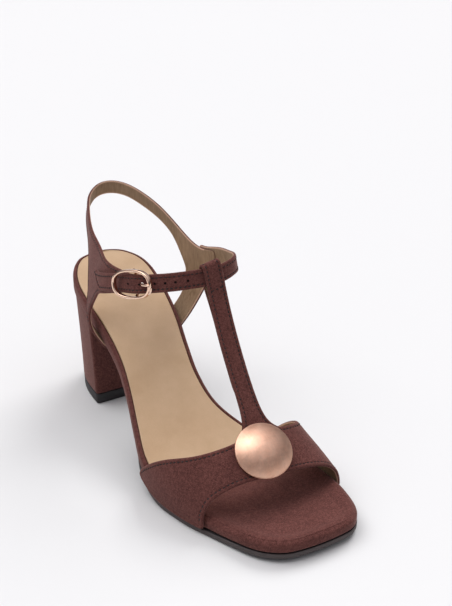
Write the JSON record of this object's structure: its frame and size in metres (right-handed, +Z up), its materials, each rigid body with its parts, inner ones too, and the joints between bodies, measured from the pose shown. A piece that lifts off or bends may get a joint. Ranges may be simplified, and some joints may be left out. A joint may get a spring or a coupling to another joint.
{
  "type": "t strap sandal",
  "caption": "Right sandal with an open toe, a vamp band, a domed button, a T strap over a buckled ankle strap, a back strap and a block heel.",
  "frame": {"origin": "middle of the sandal's bounding box in plan, on the ground that the forefoot and the heel rest on", "axes": "+X to the medial side, +Y to the heel, -Y to the toe, +Z up"},
  "size_m": [0.088, 0.23, 0.1191],
  "materials": {
    "suede": "napped suede, dark reddish brown",
    "sock_leather": "smooth tan lining leather",
    "rubber": "matt black",
    "buckle_metal": "polished pale rose gold plating",
    "button_foil": "finely creased metallic foil leather over a domed core"
  },
  "bodies": {
    "root": {"outsole": "rubber", "footbed": "suede", "sock": "sock_leather", "heel_block": "suede", "heel_top_piece": "rubber", "vamp_t_strap": "suede", "quarter_back_strap": "suede", "ankle_strap": "suede", "buckle_frame": "buckle_metal", "buckle_prong": "buckle_metal", "button": "button_foil"}
  },
  "joints": []
}
